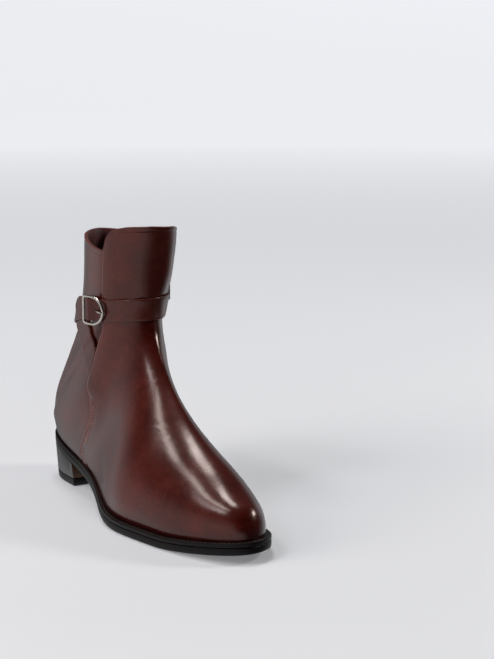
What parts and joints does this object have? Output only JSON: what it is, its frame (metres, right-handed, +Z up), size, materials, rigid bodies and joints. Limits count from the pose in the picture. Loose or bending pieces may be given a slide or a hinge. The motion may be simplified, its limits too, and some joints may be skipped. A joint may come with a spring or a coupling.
{
  "type": "ankle boot",
  "caption": "Hollow leather ankle boot for the right foot, low block heel, buckled wrap strap and a side zip with a hinged pull.",
  "frame": {"origin": "middle of the bounding box on the floor plane", "axes": "+Z up, toe towards -Y, medial side towards +X, lateral side towards -X"},
  "size_m": [0.0876, 0.2614, 0.1951],
  "materials": {
    "calf_leather": "polished burgundy calf",
    "strap_leather": "polished burgundy calf",
    "sole_leather": "black burnished sole edge",
    "stacked_leather": "black burnished stack",
    "lining_leather": "matt mauve lining",
    "rubber": "matt black",
    "nickel": "polished nickel",
    "dark_nickel": "dark nickel",
    "zip_tape": "black woven tape with a closed chain"
  },
  "bodies": {
    "boot": {"outsole": "sole_leather", "welt": "sole_leather", "insole": "lining_leather", "heel_block": "stacked_leather", "heel_top_lift": "rubber", "upper": "calf_leather", "ankle_strap": "strap_leather", "rear_strap": "strap_leather", "buckle_strap": "strap_leather", "buckle_frame": "nickel", "buckle_prong": "nickel", "zip_tape": "zip_tape", "zip_slider": "dark_nickel"},
    "pull": {"zip_pull": "nickel"}
  },
  "joints": [
    {"name": "zip_pull_hinge", "type": "hinge", "parent": "boot", "child": "pull", "pos_m": [0.04131, 0.0586, 0.17035], "axis": [0.0166, -0.9999, 0], "range_deg": [-3, 150]}
  ]
}
